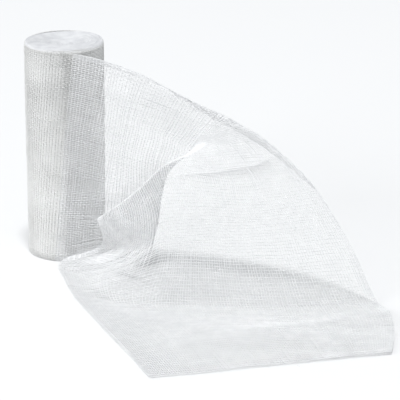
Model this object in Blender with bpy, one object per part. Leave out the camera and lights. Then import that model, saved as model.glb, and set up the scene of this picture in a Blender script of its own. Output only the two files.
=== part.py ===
"""An upright roll of gauze bandage, with its loose end drawn off, pleated and laid on the table.

The origin is the centre of the roll's base, +Z is up, and the loose end leaves the roll's front
towards +X and comes down towards -Y.
"""

import math

import bmesh
import bpy
from mathutils import Vector

MM = 0.001

# Driving sizes, in millimetres
STRIP_WIDTH = 100.0
ROLL_RADIUS = 18.25
SHEET_THICKNESS = 1.2
PIECE_GAP = 0.3

# Roll: how round, dished and slumped it is
ROLL_SIDES = 56
RIM_ROUNDING = 1.6
BASE_ROUNDING = 1.0
BASE_DRAWN_IN = 0.5
DISH_DEPTH = 1.8
OUT_OF_ROUND = 0.35
RIM_WAVE = 0.35
EDGE_RINGS = 4
SIDE_RINGS = 7
DISH_RINGS = 5

# Roll: turns of its lobes and of its rim's wave in radians, and how they mix and fade
LOBE_TURN = 0.6
LOBE_SHIFT = 1.5
THREE_LOBE_SHARE = 0.5
THREE_LOBE_TURN = 0.4
WAVE_TURN = 0.9
WAVE_FADE = 8

# Loose end: steps of the mesh along the strip between two rows of the table, and across it
STEPS_ALONG = 7
STEPS_ACROSS = 4

# What the cloth is made of, as colour and roughness
WOUND_COTTON = ((0.80, 0.80, 0.79), 0.9)
OPEN_COTTON = ((0.84, 0.85, 0.86), 0.9)

# The lowest the middle of the sheet goes where it lies and where it stands on its edge
LIES = SHEET_THICKNESS / 2
STANDS = 0.4
STANDING_LINES = 8
LEAVES_Y = -(ROLL_RADIUS + PIECE_GAP + LIES)
TOP = STRIP_WIDTH - STANDS

# Points of each cross line from the strip's lower edge to its upper one
COLUMNS = ("foot", "ankle", "knee", "waist", "chest", "shoulder", "head")

# Cross lines of the loose end in the order of the strip, as (x, y, z) in millimetres
CROSS_LINES = [
    {
        "name": "leaves the roll",
        "foot": (-1, LEAVES_Y, STANDS),
        "ankle": (-1, LEAVES_Y, 11),
        "knee": (-1, LEAVES_Y, 22),
        "waist": (-1, LEAVES_Y, 45),
        "chest": (-1, LEAVES_Y, 62),
        "shoulder": (-1, LEAVES_Y, 80),
        "head": (-1, LEAVES_Y, TOP),
    },
    {
        "name": "runs free",
        "foot": (18.6, -20.2, 7),
        "ankle": (18.8, -20.2, 14.5),
        "knee": (19, -20.2, 23),
        "waist": (19.3, -20.2, 41),
        "chest": (19.6, -20.2, 57.3),
        "shoulder": (20.3, -20.1, 75),
        "head": (20.8, -19.6, 95),
    },
    {
        "name": "right fold, back",
        "foot": (40.2, -20.6, 7.2),
        "ankle": (41.4, -20.6, 14),
        "knee": (42.8, -20.7, 21),
        "waist": (44.8, -20.9, 34),
        "chest": (47.6, -21.6, 45.8),
        "shoulder": (57.5, -22.6, 56.2),
        "head": (60, -24.4, 77.7),
    },
    {
        "name": "right fold, front",
        "foot": (40.2, -23.9, 7.2),
        "ankle": (41.4, -23.9, 14),
        "knee": (42.8, -24, 21),
        "waist": (44.9, -24.2, 34.4),
        "chest": (48.6, -24.6, 46.4),
        "shoulder": (58.6, -25.6, 56.6),
        "head": (70, -27.2, 74.2),
    },
    {
        "name": "left fold, back",
        "foot": (16.4, -24.6, 23.8),
        "ankle": (20.5, -24.8, 27),
        "knee": (26.5, -25.2, 31),
        "waist": (36.5, -25.6, 39.6),
        "chest": (46.8, -26.2, 49.6),
        "shoulder": (59.6, -28.4, 57.2),
        "head": (80.3, -30.6, 69.8),
    },
    {
        "name": "left fold, front",
        "foot": (16.4, -28.2, 24),
        "ankle": (20.5, -28.4, 27.2),
        "knee": (26.5, -28.6, 31.2),
        "waist": (36.5, -28.9, 40),
        "chest": (46.8, -29.5, 50),
        "shoulder": (61.6, -31.2, 57),
        "head": (90, -34.2, 65.3),
    },
    {
        "name": "hood, high",
        "foot": (17.2, -28.6, 21),
        "ankle": (23, -31, 24.5),
        "knee": (30, -34.5, 28.5),
        "waist": (44, -40, 36.5),
        "chest": (62.9, -40.9, 38.6),
        "shoulder": (85, -40.2, 39.8),
        "head": (111.5, -44, 47.3),
    },
    {
        "name": "hood, middle",
        "foot": (19.1, -28, 14.5),
        "ankle": (25, -33, 17),
        "knee": (33, -41, 22.5),
        "waist": (46, -48.6, 26.8),
        "chest": (67.6, -48.8, 27.4),
        "shoulder": (88, -48.3, 28.3),
        "head": (119.6, -48, 38.5),
    },
    {
        "name": "hood, side",
        "foot": (16.8, -24.6, 8),
        "ankle": (22.5, -30, 8.3),
        "knee": (31.5, -39.5, 13.1),
        "waist": (45.9, -53.8, 22.9),
        "chest": (66.8, -54, 23.4),
        "shoulder": (88, -53.5, 24.3),
        "head": (122.3, -49.5, 34.7),
    },
    {
        "name": "hood, low",
        "foot": (-2.5, -22.2, LIES + 0.2),
        "ankle": (10, -32, LIES + 2),
        "knee": (27, -50, 9.5),
        "waist": (45.8, -58, 18.5),
        "chest": (66, -58.3, 19),
        "shoulder": (88, -57.7, 19.8),
        "head": (124.9, -51, 30.8),
    },
    {
        "name": "hood's foot",
        "foot": (1, -36, LIES),
        "ankle": (12, -47, LIES + 0.8),
        "knee": (24, -61, 6.2),
        "waist": (46, -65, 9.5),
        "chest": (66, -65, 9.9),
        "shoulder": (92, -64, 10.5),
        "head": (132.5, -58, 18.5),
    },
    {
        "name": "meets the table",
        "foot": (6, -55, LIES),
        "ankle": (14, -59, LIES),
        "knee": (25, -67, LIES),
        "waist": (48, -71, LIES + 0.1),
        "chest": (72, -72, LIES + 0.1),
        "shoulder": (100, -72, LIES + 0.2),
        "head": (141, -64.7, LIES + 0.3),
    },
    {
        "name": "lies flat",
        "foot": (16.7, -83.4, LIES),
        "ankle": (25, -84.5, LIES),
        "knee": (36, -86, LIES),
        "waist": (58, -88, LIES + 0.2),
        "chest": (82, -88, LIES + 0.4),
        "shoulder": (108, -88, LIES + 0.3),
        "head": (146.9, -82, LIES + 2.1),
    },
    {
        "name": "low ridge",
        "foot": (31.9, -118.3, LIES),
        "ankle": (40, -117.5, LIES + 0.2),
        "knee": (51, -115.5, LIES + 0.8),
        "waist": (72, -112.5, LIES + 1.9),
        "chest": (94, -109.5, LIES + 2.3),
        "shoulder": (117, -107, LIES + 1.3),
        "head": (147.5, -103, LIES + 0.6),
    },
    {
        "name": "cut end",
        "foot": (46.4, -152.4, LIES),
        "ankle": (54.4, -150.3, LIES),
        "knee": (64.5, -147.6, LIES),
        "waist": (84, -142, LIES),
        "chest": (104, -136, LIES),
        "shoulder": (124, -130.4, LIES),
        "head": (145.8, -124.2, LIES),
    },
]


def cloth_material(name, colour, roughness):
    """A plain matt cotton."""
    material = bpy.data.materials.new(name)
    material.use_nodes = True
    shader = material.node_tree.nodes["Principled BSDF"]
    shader.inputs["Base Color"].default_value = (*colour, 1.0)
    shader.inputs["Roughness"].default_value = roughness
    shader.inputs["Metallic"].default_value = 0.0
    return material


def piece_from(mesh_builder, name, material):
    """Turns a filled bmesh into a named object that is shaded smooth."""
    bmesh.ops.recalc_face_normals(mesh_builder, faces=mesh_builder.faces)
    mesh = bpy.data.meshes.new(name)
    mesh_builder.to_mesh(mesh)
    mesh_builder.free()
    mesh.shade_smooth()
    mesh.materials.append(material)
    piece = bpy.data.objects.new(name, mesh)
    bpy.context.collection.objects.link(piece)
    return piece


def roll_profile():
    """Radius and height from the base's edge, up the side, over the rim and into the dish."""
    profile = []
    base_radius = ROLL_RADIUS - BASE_DRAWN_IN
    for step in range(EDGE_RINGS):
        turn = math.pi / 2 * step / EDGE_RINGS
        out = base_radius - BASE_ROUNDING * (1 - math.sin(turn))
        profile.append((out, BASE_ROUNDING * (1 - math.cos(turn))))
    side_height = STRIP_WIDTH - BASE_ROUNDING - RIM_ROUNDING
    for step in range(SIDE_RINGS):
        up = step / (SIDE_RINGS - 1)
        drawn_in = BASE_DRAWN_IN * (1 - up) ** 2
        profile.append((ROLL_RADIUS - drawn_in, BASE_ROUNDING + side_height * up))
    for step in range(1, EDGE_RINGS + 1):
        turn = math.pi / 2 * step / EDGE_RINGS
        out = ROLL_RADIUS - RIM_ROUNDING * (1 - math.cos(turn))
        profile.append((out, STRIP_WIDTH - RIM_ROUNDING * (1 - math.sin(turn))))
    rim_radius = ROLL_RADIUS - RIM_ROUNDING
    for step in range(1, DISH_RINGS):
        inward = step / DISH_RINGS
        down = DISH_DEPTH * (1 - math.cos(math.pi * inward)) / 2
        profile.append((rim_radius * (1 - inward), STRIP_WIDTH - down))
    return profile


def roll_point(radius, height, angle):
    """A point of the roll, a little out of round and uneven at its top, but true at its base."""
    up = height / STRIP_WIDTH
    two_lobes = math.cos(2 * angle - LOBE_TURN)
    three_lobes = THREE_LOBE_SHARE * math.cos(3 * angle + THREE_LOBE_TURN)
    lobes = two_lobes + three_lobes - LOBE_SHIFT
    out = radius + OUT_OF_ROUND / 2 * lobes * up * radius / ROLL_RADIUS
    rise = RIM_WAVE * math.sin(2 * angle + WAVE_TURN) * up**WAVE_FADE * radius / ROLL_RADIUS
    return Vector((out * math.cos(angle), out * math.sin(angle), height + rise)) * MM


def build_wound_roll():
    """The tight winding as one solid: a flat base, a straight side and a soft dished top."""
    shape = bmesh.new()
    rings = []
    for radius, height in roll_profile():
        angles = [2 * math.pi * side / ROLL_SIDES for side in range(ROLL_SIDES)]
        rings.append([shape.verts.new(roll_point(radius, height, angle)) for angle in angles])
    for lower, upper in zip(rings, rings[1:]):
        for side in range(ROLL_SIDES):
            after = (side + 1) % ROLL_SIDES
            shape.faces.new((lower[side], lower[after], upper[after], upper[side]))
    shape.faces.new(list(reversed(rings[0])))
    middle = shape.verts.new(Vector((0, 0, STRIP_WIDTH - DISH_DEPTH)) * MM)
    for side in range(ROLL_SIDES):
        shape.faces.new((rings[-1][side], rings[-1][(side + 1) % ROLL_SIDES], middle))
    material = cloth_material("wound_cotton", *WOUND_COTTON)
    return piece_from(shape, "wound_roll", material)


def slope_at(first, middle, last, step_in, step_out):
    """The slope at the middle one of three points that lie unevenly far apart."""
    whole = (last - first) / (step_in + step_out)
    return (middle - first) / step_in + (last - middle) / step_out - whole


def between(before, start, end, after, share):
    """A point on the smooth curve from start to end, whose neighbours give its slopes."""
    step_in = math.sqrt((start - before).length)
    step = math.sqrt((end - start).length)
    step_out = math.sqrt((after - end).length)
    slope_in = slope_at(before, start, end, step_in, step) * step
    slope_out = slope_at(start, end, after, step, step_out) * step
    square = share * share
    cube = square * share
    return (
        start * (2 * cube - 3 * square + 1)
        + slope_in * (cube - 2 * square + share)
        + end * (3 * square - 2 * cube)
        + slope_out * (cube - square)
    )


def along_curve(points, span, share):
    """A point in the given span of a smooth curve through all the points."""
    start = points[span]
    end = points[span + 1]
    before = points[span - 1] if span > 0 else start * 2 - end
    after = points[span + 2] if span + 2 < len(points) else end * 2 - start
    return between(before, start, end, after, share)


def across_line(line, steps):
    """Points of one cross line, so many steps between each two of its columns."""
    points = [Vector(line[column]) for column in COLUMNS]
    across = []
    for span in range(len(points) - 1):
        across += [along_curve(points, span, step / steps) for step in range(steps)]
    return across + [points[-1]]


def build_loose_end():
    """The drawn-off strip as one sheet, with a three-layer pleat where it turns to the table."""
    shape = bmesh.new()
    rows = []
    spans = len(CROSS_LINES) - 1
    ends = list(zip(*[across_line(line, STEPS_ACROSS) for line in CROSS_LINES]))
    for row in range(spans * STEPS_ALONG + 1):
        span = min(row // STEPS_ALONG, spans - 1)
        inside = row / STEPS_ALONG - span
        points = [along_curve(end, span, inside) for end in ends]
        for point in points:
            point.z = max(point.z, STANDS if span < STANDING_LINES else LIES)
        rows.append([shape.verts.new(point * MM) for point in points])
    for near, far in zip(rows, rows[1:]):
        for step in range(len(ends) - 1):
            shape.faces.new((near[step], near[step + 1], far[step + 1], far[step]))
    material = cloth_material("open_cotton", *OPEN_COTTON)
    sheet = piece_from(shape, "loose_end", material)
    thicken = sheet.modifiers.new("thickness", "SOLIDIFY")
    thicken.thickness = SHEET_THICKNESS * MM
    thicken.offset = 0.0
    thicken.use_even_offset = False
    return sheet


for old in list(bpy.data.objects):
    bpy.data.objects.remove(old)

build_wound_roll()
build_loose_end()
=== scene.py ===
import math

import bpy
import numpy as np
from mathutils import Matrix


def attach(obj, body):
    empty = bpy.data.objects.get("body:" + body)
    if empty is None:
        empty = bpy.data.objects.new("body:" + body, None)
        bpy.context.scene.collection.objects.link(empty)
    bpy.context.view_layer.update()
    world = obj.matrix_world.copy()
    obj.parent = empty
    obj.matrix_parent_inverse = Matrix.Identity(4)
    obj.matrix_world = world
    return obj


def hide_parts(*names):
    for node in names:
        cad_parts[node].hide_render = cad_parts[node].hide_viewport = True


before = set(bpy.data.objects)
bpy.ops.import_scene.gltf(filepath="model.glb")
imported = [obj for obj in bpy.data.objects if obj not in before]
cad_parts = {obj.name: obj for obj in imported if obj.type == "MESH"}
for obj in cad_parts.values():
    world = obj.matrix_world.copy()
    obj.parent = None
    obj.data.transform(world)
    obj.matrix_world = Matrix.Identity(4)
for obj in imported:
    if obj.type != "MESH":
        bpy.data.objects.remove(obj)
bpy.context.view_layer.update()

# The wound roll's inner turns
# About four metres of bleached cotton strip, wound tight without a core and stood on end.
# Its two ends show the turns' edges as a spiral, a little uneven and dished.
MM = 0.001
STRIP_WIDTH = 100.0
ENDS = 113
END_SPACING = STRIP_WIDTH / (ENDS - 1)
LOOSE_LENGTH = 240.0
PICKS = 166
PICK_SPACING = LOOSE_LENGTH / (PICKS - 1)
ROLL_RADIUS = 18.25
BASE_DRAWN_IN = 0.5
OUT_OF_ROUND = 0.35
OVAL_TURN = 0.6
LOBE_SHARE = 0.5
LOBE_TURN = 0.4
TURN_THICKNESS = 0.26
CORE_INSIDE = 0.75
CORE_RADIUS = ROLL_RADIUS - CORE_INSIDE
SIDE_INSIDE = 0.40
SIDE_FROM = 0.3
SIDE_UNDER_TOP = 0.9
SIDE_LEVELS = 40
SPIRAL_SIDES = 180
RINGS_A_TURN = 3
END_RINGS = int(CORE_RADIUS / TURN_THICKNESS * RINGS_A_TURN)
HUB_RADIUS = 0.02
EDGE_INSIDE = 0.35
EDGE_RIDGE = 0.16
EDGE_UNEVEN = 0.13
UNEVEN_EVERY = 7
NOISE_A_TURN = 24
NOISE_SPREAD = 0.6
WAVE_TURN = 0.9
ROLL_ENDS = (
    {"height": 0.0, "outward": -1.0, "dish": 0.5, "wave": 0.0},
    {"height": STRIP_WIDTH, "outward": 1.0, "dish": 1.8, "wave": 0.35},
)
YARN_TONE = {"scale": 260.0, "detail": 3.0, "dark until": 0.35, "light from": 0.65}
YARN_FUZZ = {"scale": 9000.0, "detail": 2.0, "strength": 0.3, "depth": 0.05 * MM}
WEAVE_RELIEF = {"strength": 0.5, "depth": 0.12 * MM}
YARN_SHEEN = 0.2
# Painted shade on the roll: its cotton darkens by the share below between these two heights, in
# millimetres, standing in for weaker light on its upper part.
PAINTED_SHADE_FROM = 35.0
PAINTED_SHADE_TO = 85.0
ROLL_PAINTED_TOP_SHADE = 0.12
chance = np.random.default_rng(seed=41)


def smooth_curve(points, steps, even=True):
    """Points on a smooth curve through the given ones along the first axis, steps to each span."""
    before = np.concatenate([2 * points[:1] - points[1:2], points[:-1]])
    after = np.concatenate([points[1:], 2 * points[-1:] - points[-2:-1]])
    gone = np.linalg.norm(points - before, axis=-1, keepdims=True)
    ahead = np.linalg.norm(after - points, axis=-1, keepdims=True)
    step_in = np.ones_like(gone) if even else np.sqrt(gone)
    step_out = np.ones_like(ahead) if even else np.sqrt(ahead)
    slope = (points - before) / step_in + (after - points) / step_out
    slope = slope - (after - before) / (step_in + step_out)
    share = (np.arange(steps) / steps).reshape((1, steps) + (1,) * (points.ndim - 1))
    start, end, step = points[:-1, None], points[1:, None], step_out[:-1, None]
    curve = (
        start * (2 * share**3 - 3 * share**2 + 1)
        + slope[:-1, None] * step * (share**3 - 2 * share**2 + share)
        + end * (3 * share**2 - 2 * share**3)
        + slope[1:, None] * step * (share**3 - share**2)
    )
    return np.concatenate([curve.reshape((-1,) + points.shape[1:]), points[-1:]])


def soft_noise(shape, every):
    """Smooth random numbers from about -1 to 1, with one free value every so many steps."""
    coarse_shape = [int(math.ceil(size / step)) + 3 for size, step in zip(shape, every)]
    field = chance.normal(0, NOISE_SPREAD, coarse_shape)
    for axis, (size, step) in enumerate(zip(shape, every)):
        field = np.moveaxis(field, axis, 0)
        field = smooth_curve(field[..., None], int(step))[:size, ..., 0] if step > 1 else field[:size]
        field = np.moveaxis(field, 0, axis)
    return field


def roll_radius(angle, height, inside):
    """The radius of a winding that lies so far inside the roll's surface."""
    up = np.clip(height / STRIP_WIDTH, 0, 1)
    lobes = np.cos(2 * angle - OVAL_TURN) + LOBE_SHARE * np.cos(3 * angle + LOBE_TURN)
    lobes = lobes - (1 + LOBE_SHARE)
    return ROLL_RADIUS - inside - BASE_DRAWN_IN * (1 - up) ** 2 + OUT_OF_ROUND / 2 * lobes * up


def winding():
    """The turns inside: a dense side and two ends whose spiral edges stand unevenly."""
    turns = CORE_RADIUS / TURN_THICKNESS
    angle = np.linspace(0, 2 * math.pi, SPIRAL_SIDES, endpoint=False)
    uneven = soft_noise((int((turns + 2) * NOISE_A_TURN),), (UNEVEN_EVERY,))
    radii = np.linspace(HUB_RADIUS, CORE_RADIUS, END_RINGS)[:, None] + 0 * angle
    turn = np.maximum(radii / TURN_THICKNESS - angle / (2 * math.pi), 0)
    whole = np.floor(turn)
    along_spiral = (whole + angle / (2 * math.pi)) * NOISE_A_TURN
    stand = np.interp(along_spiral, np.arange(len(uneven)), uneven)
    ridge = EDGE_RIDGE * (1 - (2 * (turn - whole) - 1) ** 2) + EDGE_UNEVEN * stand
    hollow = (1 - np.cos(math.pi * (1 - radii / CORE_RADIUS))) / 2
    wave = np.sin(2 * angle + WAVE_TURN) * radii / CORE_RADIUS
    rings = []
    for end in ROLL_ENDS:
        height = end["height"] + end["outward"] * (ridge - end["dish"] * hollow - EDGE_INSIDE)
        height = height + end["wave"] * wave
        true_radius = radii * roll_radius(angle, end["height"], 0.0) / ROLL_RADIUS
        rings.append(np.stack([true_radius * np.cos(angle), true_radius * np.sin(angle), height], -1))
    levels = np.linspace(SIDE_FROM, STRIP_WIDTH - SIDE_UNDER_TOP, SIDE_LEVELS)[:, None]
    radius = roll_radius(angle, levels, SIDE_INSIDE)
    side = np.stack([radius * np.cos(angle), radius * np.sin(angle), levels + 0 * angle], -1)
    skin = np.concatenate([rings[0], side, rings[1][::-1]])
    first = np.arange(len(skin) - 1)[:, None] * SPIRAL_SIDES
    here = np.arange(SPIRAL_SIDES)[None]
    there = (here + 1) % SPIRAL_SIDES
    above = first + SPIRAL_SIDES
    faces = np.stack([first + here, first + there, above + there, above + here], -1)
    return skin.reshape(-1, 3), faces.reshape(-1, 4)


def cloth_piece(name, part, material):
    """A smooth shaded mesh object from vertices in millimetres and faces."""
    points, faces = part
    mesh = bpy.data.meshes.new(name)
    mesh.from_pydata((points * MM).tolist(), [], faces.tolist())
    mesh.shade_smooth()
    mesh.materials.append(material)
    piece = bpy.data.objects.new(name, mesh)
    bpy.context.scene.collection.objects.link(piece)
    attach(piece, "root")
    return piece


def cloth_noise(tree, place, look):
    """A noise texture fixed to the cloth, of a look's scale and detail."""
    noise = tree.nodes.new("ShaderNodeTexNoise")
    noise.inputs["Scale"].default_value = look["scale"]
    noise.inputs["Detail"].default_value = look["detail"]
    tree.links.new(place.outputs["Position"], noise.inputs["Vector"])
    return noise.outputs["Fac"]


def relief(tree, height, look):
    """A fine relief from a height, of a look's strength and depth."""
    bump = tree.nodes.new("ShaderNodeBump")
    bump.inputs["Strength"].default_value = look["strength"]
    bump.inputs["Distance"].default_value = look["depth"]
    tree.links.new(height, bump.inputs["Height"])
    return bump


def cotton(name, light, dark, roughness=0.85, painted_top_shade=0.0):
    """Bleached cotton yarn: nearly white, a little uneven in tone and fuzzy to the light; the last
    argument darkens it towards the top as painted shade.
    """
    material = bpy.data.materials.new(name)
    material.use_nodes = True
    tree = material.node_tree
    nodes, links = tree.nodes, tree.links
    shader = nodes["Principled BSDF"]
    place = nodes.new("ShaderNodeNewGeometry")
    ramp = nodes.new("ShaderNodeValToRGB")
    ramp.color_ramp.elements[0].position = YARN_TONE["dark until"]
    ramp.color_ramp.elements[0].color = (*dark, 1)
    ramp.color_ramp.elements[1].position = YARN_TONE["light from"]
    ramp.color_ramp.elements[1].color = (*light, 1)
    links.new(cloth_noise(tree, place, YARN_TONE), ramp.inputs["Fac"])
    # Painted shade: the colour is scaled down between two heights, darker towards the top.
    height = nodes.new("ShaderNodeSeparateXYZ")
    links.new(place.outputs["Position"], height.inputs["Vector"])
    upper = nodes.new("ShaderNodeMapRange")
    upper.inputs["From Min"].default_value = PAINTED_SHADE_FROM * MM
    upper.inputs["From Max"].default_value = PAINTED_SHADE_TO * MM
    upper.inputs["To Min"].default_value = 1.0
    upper.inputs["To Max"].default_value = 1.0 - painted_top_shade
    links.new(height.outputs["Z"], upper.inputs["Value"])
    top_shaded_tone = nodes.new("ShaderNodeVectorMath")
    top_shaded_tone.operation = "SCALE"
    links.new(ramp.outputs["Color"], top_shaded_tone.inputs[0])
    links.new(upper.outputs["Result"], top_shaded_tone.inputs["Scale"])
    links.new(top_shaded_tone.outputs["Vector"], shader.inputs["Base Color"])
    fuzz = relief(tree, cloth_noise(tree, place, YARN_FUZZ), YARN_FUZZ)
    links.new(fuzz.outputs["Normal"], shader.inputs["Normal"])
    shader.inputs["Roughness"].default_value = roughness
    shader.inputs["Sheen Weight"].default_value = YARN_SHEEN
    return material


def wound_cotton(name, light, dark, roughness, painted_top_shade):
    """Many turns of gauze seen as one: soft white with the weave as a fine relief round the roll."""
    material = cotton(name, light, dark, roughness, painted_top_shade)
    tree = material.node_tree
    fuzz = tree.nodes["Bump"]
    place = tree.nodes.new("ShaderNodeSeparateXYZ")
    source = tree.nodes.new("ShaderNodeNewGeometry")
    tree.links.new(source.outputs["Position"], place.inputs["Vector"])

    def math_node(kind, first, second=None):
        node = tree.nodes.new("ShaderNodeMath")
        node.operation = kind
        for socket, value in zip(node.inputs, (first, second)):
            if isinstance(value, (int, float)):
                socket.default_value = value
            elif value is not None:
                tree.links.new(value, socket)
        return node.outputs[0]

    angle = math_node("ARCTAN2", place.outputs["Y"], place.outputs["X"])
    picks_round = int(2 * math.pi * ROLL_RADIUS / PICK_SPACING)
    picks = math_node("SINE", math_node("MULTIPLY", angle, picks_round))
    ends_each_metre = 2 * math.pi / (END_SPACING * MM)
    ends = math_node("SINE", math_node("MULTIPLY", place.outputs["Z"], ends_each_metre))
    weave = relief(tree, math_node("MAXIMUM", picks, ends), WEAVE_RELIEF)
    tree.links.new(fuzz.outputs["Normal"], weave.inputs["Normal"])
    tree.links.new(weave.outputs["Normal"], tree.nodes["Principled BSDF"].inputs["Normal"])
    return material


# The wound body's cotton is a little darker than the loose strip's yarn and darker towards its top:
# painted shade on the roll.
wound_gauze_painted_shade = wound_cotton(
    "wound gauze in painted shade",
    light=(0.82, 0.82, 0.815),
    dark=(0.78, 0.78, 0.775),
    roughness=0.9,
    painted_top_shade=ROLL_PAINTED_TOP_SHADE,
)
# Painted shade: a greyer copy of the cotton for the roll's two ends, standing in for the shade between
# the turns' edges and to dim the top under the light from above.
turn_edges_painted_shade = cotton(
    "turn edges in painted shade",
    light=(0.64, 0.645, 0.66),
    dark=(0.56, 0.565, 0.585),
    roughness=0.9,
)
roll_core = cloth_piece("wound_turns", winding(), wound_gauze_painted_shade)
roll_core.data.materials.append(turn_edges_painted_shade)
# The faces on the roll's two ends take the painted shade material.
face_rings = np.arange(len(roll_core.data.polygons)) // SPIRAL_SIDES
ends_in_painted_shade = (face_rings < END_RINGS) | (face_rings > face_rings[-1] - END_RINGS)
roll_core.data.polygons.foreach_set("material_index", ends_in_painted_shade.astype(int))
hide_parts("wound_roll")

# The strip from the roll's last turns to its cut end
# Open plain weave, 11 ends and 7 picks to the centimetre. Two turns lie on the roll, and the rest is
# drawn off its front, folded back upright, folded again on a slant and laid down on the table.
THREAD_RADIUS = 0.183
THREAD_TURNS = (90, 210, 330)
THREAD_SIDES = len(THREAD_TURNS)
THINNEST = 0.5
WEAVE_RISE = 0.12
ON_TABLE = 0.32
SELVEDGE_ENDS = 4
SELVEDGE_CLOSENESS = 0.55
LEAVES_AT = math.radians(-88.5)
VISIBLE_TURNS = 2
ROLL_PICKS = int(2 * math.pi * ROLL_RADIUS * VISIBLE_TURNS / PICK_SPACING)
WOUND_FROM = 0.3
WOUND_WIDTH = 99.3
TURN_INSIDE = 0.2
RIM_ROUNDING = 1.6
RIM_DRAWN_IN = 0.9
FILL_STEPS = 24
CURL_RADIUS = 1.1
EDGE_BAND = 3
FADE_PICKS = 8
HOOD_FROM_PICK = 78
EASING_ROUNDS = 2
HOOD_EASING_ROUNDS = 14
CREASE_FADE = 0.04
ROUNDING = 1e-6
NO_LENGTH = 1e-9
OVER_THE_EDGE = 1e-3
end_steps = np.ones(ENDS - 1)
end_steps[:SELVEDGE_ENDS] = SELVEDGE_CLOSENESS
end_steps[-SELVEDGE_ENDS:] = SELVEDGE_CLOSENESS
END_SHARES = np.concatenate([[0], np.cumsum(end_steps)]) / end_steps.sum()

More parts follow.
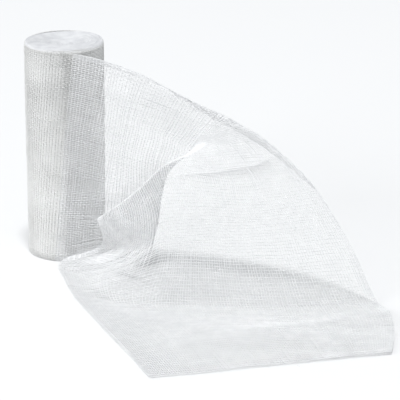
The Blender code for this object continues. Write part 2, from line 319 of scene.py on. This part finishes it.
# Cross lines of the strip in its order: points in millimetres from its lower edge to its upper one,
# how far across the strip each lies as a share, and how many millimetres along the strip it is.
CROSS_LINES = {
    "leaves the roll": {
        "at": [(0.5, -17.75, z) for z in (0.8, 11, 22, 45, 62, 80, 99.6)],
        "end": (0, 0.11, 0.22, 0.45, 0.62, 0.80, 1),
        "pick": (5, 4, 3, 0.5, -1, -3, -5),
    },
    "runs free": {
        "at": [(18.6, -19.2, 7), (18.8, -19.2, 14.5), (19, -19.2, 23), (19.3, -19.2, 41),
               (19.6, -19.2, 57.3), (20.3, -19.1, 75), (20.8, -18.9, 95)],
        "end": (0, 0.11, 0.22, 0.45, 0.62, 0.80, 1),
        "pick": (26, 25.5, 25, 23, 20.5, 17.5, 14.5),
    },
    "right fold, back": {
        "at": [(40.2, -20.6, 7.2), (41.4, -20.6, 14), (42.8, -20.7, 21), (44.8, -20.9, 34),
               (47.6, -21.6, 45.8), (57.5, -22.6, 56.2), (60, -24.4, 77.7)],
        "end": (0, 0.12, 0.24, 0.43, 0.57, 0.68, 0.96),
        "pick": (45, 46, 48.5, 52, 57, 65.5, 55),
    },
    "right fold, front": {
        "at": [(40.2, -23.9, 7.2), (41.4, -23.9, 14), (42.8, -24, 21), (44.9, -24.2, 34.4),
               (48.6, -24.6, 46.4), (58.6, -25.6, 56.6), (70, -27.2, 74.2)],
        "end": (0, 0.12, 0.24, 0.43, 0.57, 0.67, 0.94),
        "pick": (49, 50, 52.5, 56, 61, 69, 65),
    },
    "left fold, back": {
        "at": [(16.4, -24.6, 23.8), (20.5, -24.8, 27), (26.5, -25.2, 31), (36.5, -25.6, 39.6),
               (46.8, -26.2, 49.6), (59.6, -28.4, 57.2), (80.3, -30.6, 69.8)],
        "end": (0, 0.045, 0.105, 0.22, 0.34, 0.53, 0.93),
        "pick": (84, 92, 100, 106, 100, 88, 76.5),
    },
    "left fold, front": {
        "at": [(16.4, -28.2, 24), (20.5, -28.4, 27.2), (26.5, -28.6, 31.2), (36.5, -28.9, 40),
               (46.8, -29.5, 50), (61.6, -31.2, 57), (90, -34.2, 65.3)],
        "end": (0, 0.045, 0.105, 0.22, 0.34, 0.51, 0.93),
        "pick": (87, 96, 104, 110, 104, 92, 88),
    },
    "hood, high": {
        "at": [(17.2, -28.6, 21), (23, -31, 24.5), (30, -34.5, 28.5), (44, -40, 36.5),
               (62.9, -40.9, 38.6), (85, -40.2, 39.8), (111.5, -44, 47.3)],
        "end": (0, 0.05, 0.12, 0.25, 0.455, 0.68, 0.965),
        "pick": (90, 101, 111, 120.5, 119, 117, 115),
    },
    "hood, middle": {
        "at": [(19.1, -28, 14.5), (25, -33, 17), (33, -41, 22.5), (46, -48.6, 26.8),
               (67.6, -48.8, 27.4), (88, -48.3, 28.3), (119.6, -48, 38.5)],
        "end": (0, 0.07, 0.14, 0.245, 0.468, 0.66, 1),
        "pick": (97, 109, 119, 131, 133.5, 133, 126),
    },
    "hood, side": {
        "at": [(15, -22.8, 8), (22.5, -30, 8.3), (31.5, -39.5, 13.1), (45.9, -53.8, 22.9),
               (66.8, -54, 23.4), (88, -53.5, 24.3), (122.3, -49.5, 34.7)],
        "end": (0, 0.07, 0.14, 0.248, 0.464, 0.655, 1),
        "pick": (104, 119, 128, 138.5, 139.5, 139, 131),
    },
    "hood, low": {
        "at": [(-2.5, -19.5, 0.9), (10, -32, 2.5), (27, -50, 9.5), (45.8, -58, 18.5),
               (66, -58.3, 19), (88, -57.7, 19.8), (124.9, -51, 30.8)],
        "end": (0, 0.075, 0.165, 0.25, 0.46, 0.65, 1),
        "pick": (126, 132, 141, 146, 145.5, 145, 136),
    },
    "hood's foot": {
        "at": [(1, -36, 0.3), (12, -47, 1.2), (24, -61, 6.2), (46, -65, 9.5),
               (66, -65, 9.9), (92, -64, 10.5), (132.5, -58, 18.5)],
        "end": (0, 0.07, 0.16, 0.27, 0.45, 0.66, 1),
        "pick": (141, 146, 154, 158, 158, 157, 150),
    },
    "meets the table": {
        "at": [(6, -55, 0.3), (14, -59, 0.3), (25, -67, 0.3), (48, -71, 0.4),
               (72, -72, 0.4), (100, -72, 0.5), (141, -64.7, 0.6)],
        "end": (0, 0.07, 0.15, 0.31, 0.49, 0.70, 1),
        "pick": (157, 159, 164, 169, 169.5, 169, 168),
    },
    "lies flat": {
        "at": [(16.7, -83.4, 0.3), (25, -84.5, 0.3), (36, -86, 0.3), (58, -88, 0.5),
               (82, -88, 0.7), (108, -88, 0.6), (146.9, -82, 2.4)],
        "end": (0, 0.07, 0.16, 0.34, 0.53, 0.74, 1),
        "pick": (181, 183, 186, 189, 189.5, 189, 187),
    },
    "low ridge": {
        "at": [(31.9, -118.3, 0.3), (40, -117.5, 0.5), (51, -115.5, 1.1), (72, -112.5, 2.2),
               (94, -109.5, 2.6), (117, -107, 1.6), (147.5, -103, 0.9)],
        "end": (0, 0.08, 0.18, 0.37, 0.57, 0.77, 1),
        "pick": (211, 213, 214, 215, 215, 214.5, 210),
    },
    "cut end": {
        "at": [(46.4, -152.4, 0.5), (54.4, -150.3, 0.6), (64.5, -147.6, 0.7), (84, -142, 0.9),
               (104, -136, 1.0), (124, -130.4, 1.2), (145.8, -124.2, 1.5)],
        "end": (0, 0.08, 0.18, 0.37, 0.57, 0.77, 1),
        "pick": (LOOSE_LENGTH,) * 7,
    },
}

# Low creases, each along points of (share across the strip, millimetres along it), with the height
# of its ridge, how far cloth is drawn in to it and how wide it is, in millimetres.
CREASES = (
    {
        "line": [(0.30, 110.5), (0.60, 102.6), (0.77, 102), (0.90, 98.5)],
        "height": 1.4,
        "gather": 1.5,
        "width": 2.0,
    },
    {
        "line": [(0.20, 222), (0.31, 217), (0.45, 211), (0.68, 200), (0.90, 188)],
        "height": 0.5,
        "gather": 0.3,
        "width": 4.0,
    },
)

# How uneven the strip is: by how much, and how many picks and ends lie between two free values.
# Thicknesses are shares of a thread's radius, the place round the roll is in radians, the rest in
# millimetres.
UNEVENNESS = {
    "height on the roll": {"by": 0.1, "every": (14, 1)},
    "depth on the roll": {"by": 0.08, "every": (9, 11)},
    "place round the roll": {"by": 0.008, "every": (1, 12)},
    "one end aside": {"by": 0.17, "every": (13, 1)},
    "many ends aside": {"by": 0.28, "every": (22, 9)},
    "one pick along": {"by": 0.27, "every": (1, 14)},
    "many picks along": {"by": 0.40, "every": (9, 24)},
    "wave": {"by": 0.22, "every": (10, 12)},
    "thickness in patches": {"by": 0.10, "every": (7, 7)},
    "thickness of an end": {"by": 0.22, "every": (9, 1)},
    "thickness of a pick": {"by": 0.22, "every": (1, 9)},
}


def unevenness(kind, shape):
    """One kind of unevenness at each of so many picks and ends."""
    return UNEVENNESS[kind]["by"] * soft_noise(shape, UNEVENNESS[kind]["every"])


def unit(vectors):
    """The same vectors, each one long."""
    return vectors / np.maximum(np.linalg.norm(vectors, axis=-1, keepdims=True), NO_LENGTH)


def cloth_directions(grid):
    """Unit vectors along the ends, along the picks and square to the cloth."""
    along = unit(np.gradient(grid, axis=0))
    across = unit(np.gradient(grid, axis=1))
    return along, across, unit(np.cross(along, across))


def names_by_way(points, names, steps):
    """Values given every so many points, shared out by the way along the points between."""
    step = np.linalg.norm(np.diff(points, axis=0), axis=-1)
    step = step.reshape((-1, steps) + step.shape[1:])
    gone = np.cumsum(step, axis=1) - step
    share = (gone / step.sum(axis=1, keepdims=True))[..., None]
    line = names[:-1, None] * (1 - share) + names[1:, None] * share
    return np.concatenate([line.reshape((-1,) + names.shape[1:]), names[-1:]])


def fine_surface():
    """The loose end as a fine net of points, and which end and pick runs at each of them."""
    lines = CROSS_LINES.values()
    at = np.array([line["at"] for line in lines], float)
    names = [np.stack([line["end"], np.array(line["pick"]) / LOOSE_LENGTH], -1) for line in lines]
    names = np.array(names).swapaxes(0, 1)
    wide = smooth_curve(at.swapaxes(0, 1), FILL_STEPS, even=False)
    names = names_by_way(wide, names, FILL_STEPS).swapaxes(0, 1)
    fine = smooth_curve(wide.swapaxes(0, 1), FILL_STEPS, even=False)
    return fine, names_by_way(fine, names, FILL_STEPS)


def crossings_on_table_side():
    """Where each end crosses each pick off the roll, found by filling the net's triangles."""
    fine, names = fine_surface()
    end_place = np.interp(names[..., 0], END_SHARES, np.arange(ENDS))
    place = np.stack([end_place, names[..., 1] * (PICKS - 1) + ROLL_PICKS], -1)
    found = np.full((ROLL_PICKS + PICKS, ENDS, 3), np.nan)
    near, far = slice(None, -1), slice(1, None)
    for corners in (((near, near), (far, near), (far, far)), ((near, near), (far, far), (near, far))):
        a, b, c = [place[corner].reshape(-1, 2) for corner in corners]
        at_a, at_b, at_c = [fine[corner].reshape(-1, 3) for corner in corners]
        low = np.ceil(np.minimum(np.minimum(a, b), c) - ROUNDING).astype(int)
        high = np.floor(np.maximum(np.maximum(a, b), c) + ROUNDING).astype(int)
        low, high = np.maximum(low, 0), np.minimum(high, [ENDS - 1, len(found) - 1])
        to_b, to_c = b - a, c - a
        area = to_b[:, 0] * to_c[:, 1] - to_b[:, 1] * to_c[:, 0]
        inside = (high >= low).all(axis=1) & (abs(area) > NO_LENGTH)
        for k in np.nonzero(inside)[0]:
            for end in range(low[k, 0], high[k, 0] + 1):
                for pick in range(low[k, 1], high[k, 1] + 1):
                    x, y = end - a[k, 0], pick - a[k, 1]
                    b_share = (x * to_c[k, 1] - y * to_c[k, 0]) / area[k]
                    c_share = (y * to_b[k, 0] - x * to_b[k, 1]) / area[k]
                    if min(b_share, c_share, 1 - b_share - c_share) > -OVER_THE_EDGE:
                        steps = b_share * (at_b[k] - at_a[k]) + c_share * (at_c[k] - at_a[k])
                        found[pick, end] = at_a[k] + steps
    return found


def curl_back(found):
    """Rolls the ends beyond the arched upper edge over, behind the cloth."""
    known = ~np.isnan(found[..., 0])
    for pick in range(ROLL_PICKS, len(found)):
        last = np.nonzero(known[pick])[0].max()
        if last == ENDS - 1:
            continue
        edge = found[pick, last]
        out = unit(edge - found[pick, last - EDGE_BAND])
        ahead = unit(found[pick + 1, last - EDGE_BAND] - found[pick - 1, last - EDGE_BAND])
        behind = unit(np.cross(out, ahead))
        past = (END_SHARES[last + 1:] - END_SHARES[last])[:, None] * STRIP_WIDTH
        turned = np.minimum(past / CURL_RADIUS, math.pi)
        straight = past - turned * CURL_RADIUS
        sideways = CURL_RADIUS * np.sin(turned) - straight
        found[pick, last + 1:] = edge + sideways * out + CURL_RADIUS * (1 - np.cos(turned)) * behind


def strip_crossings():
    """Every crossing of the strip, from two turns back on the roll to the cut end."""
    found = crossings_on_table_side()
    leaves = CROSS_LINES["leaves the roll"]
    leaves_pick = np.interp(END_SHARES, leaves["end"], leaves["pick"])[None]
    way = (np.arange(len(found)) - ROLL_PICKS)[:, None] * PICK_SPACING - leaves_pick
    turned = np.minimum(way / (2 * math.pi * ROLL_RADIUS), 0)
    height = WOUND_FROM + WOUND_WIDTH * END_SHARES[None] + unevenness("height on the roll", way.shape)
    near_rim = np.clip((RIM_ROUNDING - (STRIP_WIDTH - height)) / RIM_ROUNDING, 0, 1)
    inside = TURN_INSIDE - TURN_THICKNESS * turned + RIM_DRAWN_IN * near_rim**2
    inside = inside + unevenness("depth on the roll", way.shape)
    angle = LEAVES_AT + 2 * math.pi * turned + unevenness("place round the roll", way.shape)
    radius = roll_radius(angle, height, inside)
    wound = np.stack([radius * np.cos(angle), radius * np.sin(angle), height], -1)
    on_roll = way <= 0
    found[on_roll] = wound[on_roll]
    curl_back(found)
    index = np.arange(len(found))
    for end in range(ENDS):
        known = ~np.isnan(found[:, end, 0])
        for axis in range(3):
            found[:, end, axis] = np.interp(index, index[known], found[known, end, axis])
    return found


def share_past(pick):
    """A share for each crossing that grows from none to one in the picks after the given one."""
    past = np.arange(ROLL_PICKS + PICKS) - ROLL_PICKS - pick
    return np.clip(past / FADE_PICKS, 0, 1)[:, None, None]


def eased(grid, rounds, share):
    """The grid with each crossing drawn towards its neighbours along the strip, by its share."""
    for _ in range(rounds):
        middle = (grid[:-2] + grid[2:]) / 2
        grid = grid.copy()
        grid[1:-1] += 0.5 * share[1:-1] * (middle - grid[1:-1])
    return grid


def creased(grid, line, height, gather, width):
    """The grid with the cloth lifted and gathered along one crease."""
    shares, picks = np.array(line).T
    middle = np.interp(END_SHARES, shares, picks)[None]
    off = ((np.arange(len(grid)) - ROLL_PICKS)[:, None] * PICK_SPACING - middle) / width
    inside = np.minimum(END_SHARES - shares[0], shares[-1] - END_SHARES) / CREASE_FADE
    bell = (np.clip(inside, 0, 1)[None] * np.exp(-off**2 / 2))[..., None]
    along, across, square = cloth_directions(grid)
    return grid + bell * (height * square - gather * off[..., None] * along)


def slackened(grid, share):
    """The grid with its threads drawn aside one by one and together, and waves in the cloth."""
    size = grid.shape[:2]
    along, across, square = cloth_directions(grid)
    slack_across = unevenness("one end aside", size) + unevenness("many ends aside", size)
    slack_along = unevenness("one pick along", size) + unevenness("many picks along", size)
    wave = unevenness("wave", size)
    grid = grid + share * slack_across[..., None] * across
    grid = grid + share * slack_along[..., None] * along
    return grid + share * wave[..., None] * square


def threads(paths, ups, radius):
    """Three-sided threads along many paths of one length, as vertices and faces."""
    forward = unit(np.gradient(paths, axis=1))
    side = unit(np.cross(forward, ups))
    up = np.cross(side, forward)
    ring = [up * math.sin(turn) + side * math.cos(turn) for turn in np.radians(THREAD_TURNS)]
    points = paths[:, :, None] + radius * np.stack(ring, axis=2)
    count, steps = paths.shape[:2]
    first = np.arange(count)[:, None, None] * steps + np.arange(steps - 1)[None, :, None]
    first = first * THREAD_SIDES
    corner = np.arange(THREAD_SIDES)[None, None]
    after = (corner + 1) % THREAD_SIDES
    next_ring = first + THREAD_SIDES
    faces = np.stack([first + corner, first + after, next_ring + after, next_ring + corner], -1)
    return points.reshape(-1, 3), faces.reshape(-1, 4)


def woven(grid):
    """The ends and the picks through a grid of crossings, each as vertices and faces."""
    size = grid.shape[:2]
    square = cloth_directions(grid)[2]
    rows, columns = np.indices(size)
    over = np.where((rows + columns) % 2, WEAVE_RISE, -WEAVE_RISE)[..., None] * square
    patchy = 1 + unevenness("thickness in patches", size)
    end_thickness = patchy + unevenness("thickness of an end", size)
    pick_thickness = patchy + unevenness("thickness of a pick", size)
    end_radius = THREAD_RADIUS * np.maximum(end_thickness, THINNEST)[..., None, None]
    pick_radius = THREAD_RADIUS * np.maximum(pick_thickness, THINNEST)[..., None, None]
    ends = threads((grid + over).swapaxes(0, 1), square.swapaxes(0, 1), end_radius.swapaxes(0, 1))
    picks = threads(grid - over, square, pick_radius)
    return ends, picks


strip = strip_crossings()
past_roll = share_past(0)
strip = eased(strip, EASING_ROUNDS, past_roll)
strip = eased(strip, HOOD_EASING_ROUNDS, share_past(HOOD_FROM_PICK))
for crease in CREASES:
    strip = creased(strip, **crease)
strip = slackened(strip, past_roll)
strip[..., 2] = np.maximum(strip[..., 2], ON_TABLE)

# Painted shade: the outer turns are the loose strip's own yarn in a darker tone, and darker towards the
# top, so the roll reads greyer than the strip lying free.
roll_yarn_painted_shade = cotton(
    "gauze yarn on the roll in painted shade",
    light=(0.79, 0.79, 0.782),
    dark=(0.75, 0.75, 0.742),
    painted_top_shade=ROLL_PAINTED_TOP_SHADE,
)
turn_ends, turn_picks = woven(strip[: ROLL_PICKS + 1])
for name, part in (("outer_turn_ends", turn_ends), ("outer_turn_picks", turn_picks)):
    piece = cloth_piece(name, part, roll_yarn_painted_shade)

open_gauze = cotton("open gauze yarn", light=(0.855, 0.858, 0.865), dark=(0.79, 0.795, 0.805))
loose_ends, loose_picks = woven(strip[ROLL_PICKS:])
loose_end = cloth_piece("loose_end_ends", loose_ends, open_gauze)
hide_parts("loose_end")
loose_weft = cloth_piece("loose_end_picks", loose_picks, open_gauze)

# The frayed ends and stray fibres
# Where the strip was cut its ends stick out past the last pick and splay. Fine fibres stand off both
# woven edges, and a few form a tuft at the corner of the pleat.
FIBRE_RADIUS = 0.06
FIBRE_STEPS = 6
FIRST_FIBRE_PICK = ROLL_PICKS + 6
FIRST_PLEAT_PICK = ROLL_PICKS + 40
PLEAT_CORNER = (16.4, -26.4, 24)
TUFT_WAY = (-1.0, -0.2, 0.1)
TUFT_REACH = 3
FIBRES = {
    "frayed ends": {"count": ENDS, "shortest": 0.4, "more": 1.6, "power": 2, "splay": 0.35},
    "lower edge": {"count": 70, "shortest": 0.3, "more": 1.2, "power": 2, "splay": 0.5},
    "upper edge": {"count": 60, "shortest": 0.3, "more": 0.9, "power": 2, "splay": 0.5},
    "tuft": {"count": 16, "shortest": 0.8, "more": 1.6, "power": 1, "splay": 0.4},
}


def stray_fibres(kind, starts, ways):
    """Thin bent fibres of one kind from their starting points, as vertices and faces."""
    count, splay = FIBRES[kind]["count"], FIBRES[kind]["splay"]
    more = FIBRES[kind]["more"] * chance.random(count) ** FIBRES[kind]["power"]
    lengths = (FIBRES[kind]["shortest"] + more)[:, None, None]
    share = np.linspace(0, 1, FIBRE_STEPS)[None, :, None]
    bend = chance.normal(0, splay, (count, 1, 3))
    curl = chance.normal(0, splay, (count, 1, 3))
    straight = unit(ways)[:, None] * share
    paths = starts[:, None] + lengths * (straight + bend * share**2 + curl * share**3)
    paths[..., 2] = np.maximum(paths[..., 2], FIBRE_RADIUS)
    ups = np.broadcast_to(np.array([0.0, 0.0, 1.0]), paths.shape)
    return threads(paths, ups, FIBRE_RADIUS)


def joined(parts):
    """Several sets of vertices and faces as one."""
    counts = np.cumsum([0] + [len(points) for points, faces in parts])
    points = np.concatenate([points for points, faces in parts])
    faces = np.concatenate([part[1] + count for part, count in zip(parts, counts)])
    return points, faces


along, across, square = cloth_directions(strip)
frayed = stray_fibres("frayed ends", strip[-1], along[-1])
free_picks = np.arange(FIRST_FIBRE_PICK, len(strip) - 1)
lower_picks = chance.choice(free_picks, FIBRES["lower edge"]["count"], replace=False)
upper_picks = chance.choice(free_picks, FIBRES["upper edge"]["count"], replace=False)
lower = stray_fibres("lower edge", strip[lower_picks, 0], -across[lower_picks, 0])
upper = stray_fibres("upper edge", strip[upper_picks, -1], across[upper_picks, -1])
from_corner = np.linalg.norm(strip[FIRST_PLEAT_PICK:, 0] - PLEAT_CORNER, axis=-1)
pleat_corner = FIRST_PLEAT_PICK + np.argmin(from_corner)
tuft_count = FIBRES["tuft"]["count"]
tuft_picks = pleat_corner + chance.integers(-TUFT_REACH, TUFT_REACH + 1, tuft_count)
tuft = stray_fibres("tuft", strip[tuft_picks, 0], np.array([TUFT_WAY] * tuft_count))
fibres = cloth_piece("stray_fibres", joined([frayed, lower, upper, tuft]), open_gauze)

# The table
# A plain white table top without gloss, which runs out of view on all sides.
TABLE_REACH = 3.0
TABLE_WHITE = (0.76, 0.76, 0.765, 1)
TABLE_ROUGHNESS = 0.9
table_mesh = bpy.data.meshes.new("table_top")
near_left, near_right = (-TABLE_REACH, -TABLE_REACH, 0), (TABLE_REACH, -TABLE_REACH, 0)
far_left, far_right = (-TABLE_REACH, TABLE_REACH, 0), (TABLE_REACH, TABLE_REACH, 0)
table_mesh.from_pydata([near_left, near_right, far_right, far_left], [], [(0, 1, 2, 3)])
table_top = bpy.data.objects.new("table_top", table_mesh)
bpy.context.scene.collection.objects.link(table_top)
white = bpy.data.materials.new("white table")
white.use_nodes = True
table_shader = white.node_tree.nodes["Principled BSDF"]
table_shader.inputs["Base Color"].default_value = TABLE_WHITE
table_shader.inputs["Roughness"].default_value = TABLE_ROUGHNESS
table_mesh.materials.append(white)

# The studio light
# Pale light from all round, a soft light high in front, and a broad low one from the left that
# shades the roll towards its right side.
SURROUND_WHITE = (0.95, 0.98, 1.0, 1)
SURROUND_STRENGTH = 0.64
SOFT_LIGHTS = {
    "overhead light": {"at": (0.05, -1.05, 5.0), "aim": (0.05, -0.05, 0.0), "size": 0.7, "watts": 152.0},
    "low left light": {"at": (-1.9, -1.8, 0.62), "aim": (0.0, 0.0, 0.05), "size": 2.0, "watts": 43.0},
}
world = bpy.data.worlds.new("studio")
world.use_nodes = True
surround = world.node_tree.nodes["Background"]
surround.inputs["Color"].default_value = SURROUND_WHITE
surround.inputs["Strength"].default_value = SURROUND_STRENGTH
bpy.context.scene.world = world
for name, look in SOFT_LIGHTS.items():
    lamp = bpy.data.lights.new(name, "AREA")
    lamp.size = look["size"]
    lamp.energy = look["watts"]
    light = bpy.data.objects.new(name, lamp)
    light.location = look["at"]
    way = np.array(look["aim"]) - np.array(look["at"])
    turn = math.atan2(way[1], way[0]) - math.pi / 2
    tilt = math.atan2(math.hypot(way[0], way[1]), -way[2])
    light.rotation_euler = (tilt, 0, turn)
    bpy.context.scene.collection.objects.link(light)

# The camera
# A long lens in front of the roll and a little above it, turned slightly to the left.
CAMERA_PLACE = (0.1037, -1.1925, 0.4401)
CAMERA_DOWN = 19.21
CAMERA_LEFT = 2.03
CAMERA_LENS = 247.7
SENSOR_WIDTH = 36.0
CAMERA_REACH = 20.0
lens = bpy.data.cameras.new("camera")
lens.lens = CAMERA_LENS
lens.sensor_width = SENSOR_WIDTH
lens.clip_end = CAMERA_REACH
camera = bpy.data.objects.new("camera", lens)
camera.location = CAMERA_PLACE
camera.rotation_euler = (math.radians(90 - CAMERA_DOWN), 0, math.radians(CAMERA_LEFT))
bpy.context.scene.collection.objects.link(camera)
bpy.context.scene.camera = camera
bpy.context.scene.view_settings.view_transform = "Standard"

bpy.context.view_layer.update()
